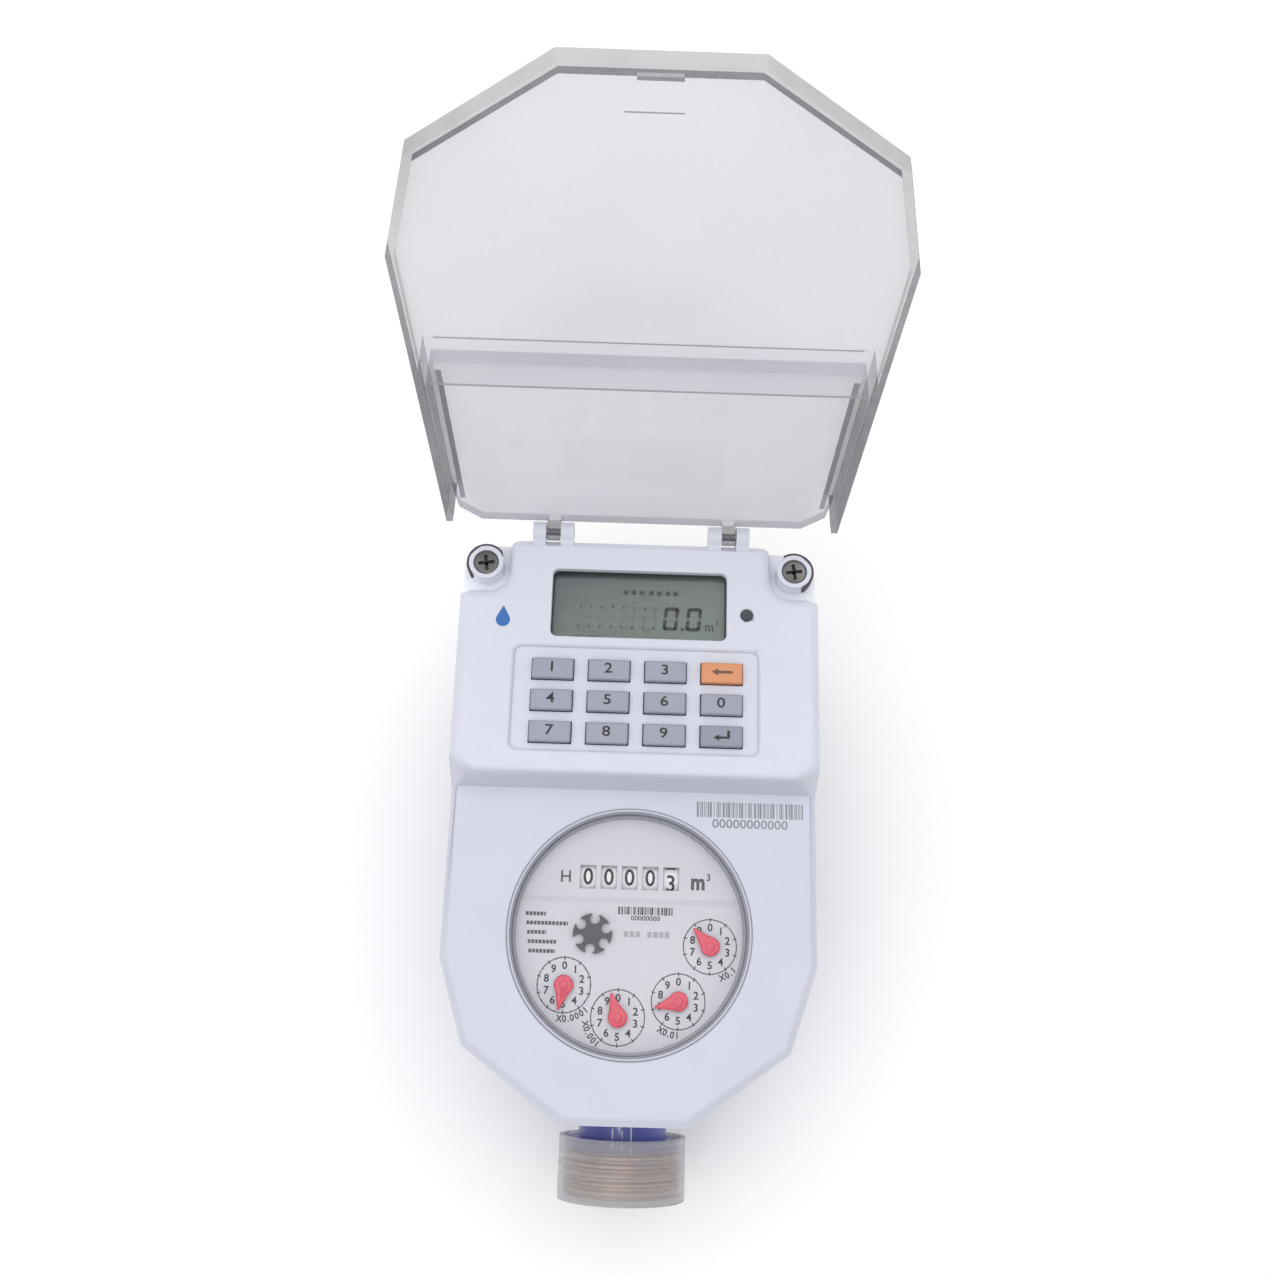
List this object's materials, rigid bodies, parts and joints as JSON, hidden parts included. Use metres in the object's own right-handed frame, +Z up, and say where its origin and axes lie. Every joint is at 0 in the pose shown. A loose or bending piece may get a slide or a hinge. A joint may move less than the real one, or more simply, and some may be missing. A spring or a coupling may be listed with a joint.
{
  "type": "prepaid water meter",
  "caption": "Prepaid water meter: capped brass body with a built-in ball valve, dry dial register, keypad and display housing, and a clear hinged lid",
  "frame": {"origin": "centre of the flat foot under the register axis", "axes": "+X to the right as the dial is read, +Y along the pipe from the capped inlet to the outlet and the lid hinge, +Z up"},
  "size_m": [0.1064, 0.2061, 0.2512],
  "materials": {
    "casting": "blue lacquer with wear on the high edges",
    "strainer_plastic": "moulded polypropylene",
    "cap_plastic": "translucent grey polyethylene",
    "wet_plastic": "moulded acetal",
    "seal_rubber": "nitrile rubber",
    "ring_brass": "machined brass",
    "steel": "plated steel",
    "can_metal": "drawn can",
    "bezel_grey": "dark grey moulding",
    "clear_glass": "clear register glass",
    "dial_white": "printed white dial",
    "movement_plastic": "moulded acetal",
    "gear_plastic": "moulded acetal",
    "star_grey": "dark grey moulding",
    "pointer_red": "translucent red moulding",
    "drum_white": "printed white drum",
    "valve_steel": "polished valve ball and stem",
    "seat_ptfe": "PTFE",
    "motor_metal": "pressed steel",
    "battery_wrap": "shrink sleeve",
    "housing_white": "fine-grained off-white moulding",
    "board_green": "solder mask",
    "lcd_grey": "reflective display glass",
    "window_clear": "clear acrylic",
    "lens_dark": "smoked lens",
    "mat_rubber": "silicone rubber",
    "key_grey": "light grey key cap",
    "key_orange": "orange key cap",
    "key_dark": "dark grey key cap",
    "screw_steel": "blackened steel",
    "band_dark": "dark soft band",
    "lid_clear": "clear polycarbonate"
  },
  "bodies": {
    "meter": {"body_casting": "casting", "inlet_strainer": "strainer_plastic", "chamber_cup": "wet_plastic", "chamber_cover": "wet_plastic", "body_oring": "seal_rubber", "lock_ring": "ring_brass", "register_can": "can_metal", "bezel_ring": "bezel_grey", "register_glass": "clear_glass", "dial_plate": "dial_white", "movement_frame": "movement_plastic", "drum_shaft": "steel", "valve_seats": "seat_ptfe", "gland_nut": "ring_brass", "gear_motor": "motor_metal", "battery": "battery_wrap", "lower_housing": "housing_white", "upper_housing": "housing_white", "circuit_board": "board_green", "lcd_module": "lcd_grey", "lcd_window": "window_clear", "sensor_lens": "lens_dark", "key_mat": "mat_rubber", "cover_screws": "screw_steel", "boss_bands": "band_dark", "hinge_pins": "steel"},
    "lid": {"clear_lid": "lid_clear"},
    "impeller": {"impeller": "wet_plastic"},
    "magnet_arbor": {"magnet_arbor": "gear_plastic"},
    "star_wheel": {"star_wheel": "star_grey"},
    "idler_0": {"idler_0": "gear_plastic"},
    "pointer_ten_thousandth": {"pointer_ten_thousandth": "pointer_red"},
    "idler_1": {"idler_1": "gear_plastic"},
    "pointer_thousandth": {"pointer_thousandth": "pointer_red"},
    "idler_2": {"idler_2": "gear_plastic"},
    "pointer_hundredth": {"pointer_hundredth": "pointer_red"},
    "idler_3": {"idler_3": "gear_plastic"},
    "pointer_tenth": {"pointer_tenth": "pointer_red"},
    "transfer_shaft": {"transfer_shaft": "gear_plastic"},
    "drum_1": {"drum_1": "drum_white"},
    "drum_2": {"drum_2": "drum_white"},
    "drum_3": {"drum_3": "drum_white"},
    "drum_4": {"drum_4": "drum_white"},
    "drum_5": {"drum_5": "drum_white"},
    "valve": {"valve_ball": "valve_steel", "valve_stem": "valve_steel"},
    "motor_pinion": {"motor_pinion": "gear_plastic"},
    "thread_cap": {"thread_cap": "cap_plastic"},
    "key_1": {"key_1": "key_grey"},
    "key_2": {"key_2": "key_grey"},
    "key_3": {"key_3": "key_grey"},
    "key_back": {"key_back": "key_orange"},
    "key_4": {"key_4": "key_grey"},
    "key_5": {"key_5": "key_grey"},
    "key_6": {"key_6": "key_grey"},
    "key_0": {"key_0": "key_grey"},
    "key_7": {"key_7": "key_grey"},
    "key_8": {"key_8": "key_grey"},
    "key_9": {"key_9": "key_grey"},
    "key_enter": {"key_enter": "key_dark"}
  },
  "joints": [
    {"name": "lid_hinge", "type": "hinge", "parent": "meter", "child": "lid", "pos_m": [0, 0.1106, 0.0911], "axis": [1, 0, 0], "range_deg": [0, 100]},
    {"name": "impeller_spin", "type": "hinge", "parent": "meter", "child": "impeller", "pos_m": [0, 0, 0.032], "axis": [0, 0, 1], "continuous": true},
    {"name": "magnet_arbor_spin", "type": "hinge", "parent": "meter", "child": "magnet_arbor", "pos_m": [0, 0, 0.056], "axis": [0, 0, 1], "continuous": true},
    {"name": "star_spin", "type": "hinge", "parent": "meter", "child": "star_wheel", "pos_m": [-0.01, -0.0005, 0.07], "axis": [0, 0, 1], "continuous": true},
    {"name": "idler_0_spin", "type": "hinge", "parent": "meter", "child": "idler_0", "pos_m": [-0.01675, -0.00547, 0.07], "axis": [0, 0, 1], "continuous": true},
    {"name": "pointer_ten_thousandth_spin", "type": "hinge", "parent": "meter", "child": "pointer_ten_thousandth", "pos_m": [-0.01718, -0.01406, 0.07], "axis": [0, 0, 1], "continuous": true},
    {"name": "idler_1_spin", "type": "hinge", "parent": "meter", "child": "idler_1", "pos_m": [-0.01061, -0.01927, 0.07], "axis": [0, 0, 1], "continuous": true},
    {"name": "pointer_thousandth_spin", "type": "hinge", "parent": "meter", "child": "pointer_thousandth", "pos_m": [-0.00248, -0.02206, 0.07], "axis": [0, 0, 1], "continuous": true},
    {"name": "idler_2_spin", "type": "hinge", "parent": "meter", "child": "idler_2", "pos_m": [0.00587, -0.0212, 0.07], "axis": [0, 0, 1], "continuous": true},
    {"name": "pointer_hundredth_spin", "type": "hinge", "parent": "meter", "child": "pointer_hundredth", "pos_m": [0.01364, -0.01752, 0.07], "axis": [0, 0, 1], "continuous": true},
    {"name": "idler_3_spin", "type": "hinge", "parent": "meter", "child": "idler_3", "pos_m": [0.01901, -0.01108, 0.07], "axis": [0, 0, 1], "continuous": true},
    {"name": "pointer_tenth_spin", "type": "hinge", "parent": "meter", "child": "pointer_tenth", "pos_m": [0.022, -0.00301, 0.07], "axis": [0, 0, 1], "continuous": true},
    {"name": "transfer_spin", "type": "hinge", "parent": "meter", "child": "transfer_shaft", "pos_m": [0.018, 0.0026, 0.0656], "axis": [1, 0, 0], "continuous": true},
    {"name": "drum_1_spin", "type": "hinge", "parent": "meter", "child": "drum_1", "pos_m": [-0.0118, 0.0148, 0.0656], "axis": [1, 0, 0], "continuous": true},
    {"name": "drum_2_spin", "type": "hinge", "parent": "meter", "child": "drum_2", "pos_m": [-0.00608, 0.0148, 0.0656], "axis": [1, 0, 0], "continuous": true},
    {"name": "drum_3_spin", "type": "hinge", "parent": "meter", "child": "drum_3", "pos_m": [-0.00036, 0.0148, 0.0656], "axis": [1, 0, 0], "continuous": true},
    {"name": "drum_4_spin", "type": "hinge", "parent": "meter", "child": "drum_4", "pos_m": [0.00536, 0.0148, 0.0656], "axis": [1, 0, 0], "continuous": true},
    {"name": "drum_5_spin", "type": "hinge", "parent": "meter", "child": "drum_5", "pos_m": [0.01108, 0.0148, 0.0656], "axis": [1, 0, 0], "continuous": true},
    {"name": "valve_turn", "type": "hinge", "parent": "meter", "child": "valve", "pos_m": [0, 0.078, 0.032], "axis": [0, 0, 1], "range_deg": [0, 90]},
    {"name": "motor_pinion_turn", "type": "hinge", "parent": "meter", "child": "motor_pinion", "pos_m": [0.016, 0.078, 0.06], "axis": [0, 0, 1], "range_deg": [-270, 0]},
    {"name": "cap_slide", "type": "slide", "parent": "meter", "child": "thread_cap", "axis": [0, -1, 0], "range_m": [0, 0.03]},
    {"name": "key_1_press", "type": "slide", "parent": "meter", "child": "key_1", "axis": [0, 0, -1], "range_m": [0, 0.001], "stiffness_N_per_m": 300},
    {"name": "key_2_press", "type": "slide", "parent": "meter", "child": "key_2", "axis": [0, 0, -1], "range_m": [0, 0.001], "stiffness_N_per_m": 300},
    {"name": "key_3_press", "type": "slide", "parent": "meter", "child": "key_3", "axis": [0, 0, -1], "range_m": [0, 0.001], "stiffness_N_per_m": 300},
    {"name": "key_back_press", "type": "slide", "parent": "meter", "child": "key_back", "axis": [0, 0, -1], "range_m": [0, 0.001], "stiffness_N_per_m": 300},
    {"name": "key_4_press", "type": "slide", "parent": "meter", "child": "key_4", "axis": [0, 0, -1], "range_m": [0, 0.001], "stiffness_N_per_m": 300},
    {"name": "key_5_press", "type": "slide", "parent": "meter", "child": "key_5", "axis": [0, 0, -1], "range_m": [0, 0.001], "stiffness_N_per_m": 300},
    {"name": "key_6_press", "type": "slide", "parent": "meter", "child": "key_6", "axis": [0, 0, -1], "range_m": [0, 0.001], "stiffness_N_per_m": 300},
    {"name": "key_0_press", "type": "slide", "parent": "meter", "child": "key_0", "axis": [0, 0, -1], "range_m": [0, 0.001], "stiffness_N_per_m": 300},
    {"name": "key_7_press", "type": "slide", "parent": "meter", "child": "key_7", "axis": [0, 0, -1], "range_m": [0, 0.001], "stiffness_N_per_m": 300},
    {"name": "key_8_press", "type": "slide", "parent": "meter", "child": "key_8", "axis": [0, 0, -1], "range_m": [0, 0.001], "stiffness_N_per_m": 300},
    {"name": "key_9_press", "type": "slide", "parent": "meter", "child": "key_9", "axis": [0, 0, -1], "range_m": [0, 0.001], "stiffness_N_per_m": 300},
    {"name": "key_enter_press", "type": "slide", "parent": "meter", "child": "key_enter", "axis": [0, 0, -1], "range_m": [0, 0.001], "stiffness_N_per_m": 300}
  ],
  "couplings": [
    {"joint": "magnet_arbor_spin", "follows": "impeller_spin", "ratio": 1},
    {"joint": "star_spin", "follows": "impeller_spin", "ratio": -1},
    {"joint": "idler_0_spin", "follows": "impeller_spin", "ratio": 0.3},
    {"joint": "pointer_ten_thousandth_spin", "follows": "impeller_spin", "ratio": -0.1},
    {"joint": "idler_1_spin", "follows": "impeller_spin", "ratio": 0.03},
    {"joint": "pointer_thousandth_spin", "follows": "impeller_spin", "ratio": -0.01},
    {"joint": "idler_2_spin", "follows": "impeller_spin", "ratio": 0.003},
    {"joint": "pointer_hundredth_spin", "follows": "impeller_spin", "ratio": -0.001},
    {"joint": "idler_3_spin", "follows": "impeller_spin", "ratio": 0.0003},
    {"joint": "pointer_tenth_spin", "follows": "impeller_spin", "ratio": -0.0001},
    {"joint": "transfer_spin", "follows": "impeller_spin", "ratio": 0.00002},
    {"joint": "drum_1_spin", "follows": "impeller_spin", "ratio": -0.000000001},
    {"joint": "drum_2_spin", "follows": "impeller_spin", "ratio": -0.00000001},
    {"joint": "drum_3_spin", "follows": "impeller_spin", "ratio": -0.0000001},
    {"joint": "drum_4_spin", "follows": "impeller_spin", "ratio": -0.000001},
    {"joint": "drum_5_spin", "follows": "impeller_spin", "ratio": -0.00001},
    {"joint": "motor_pinion_turn", "follows": "valve_turn", "ratio": -3}
  ]
}
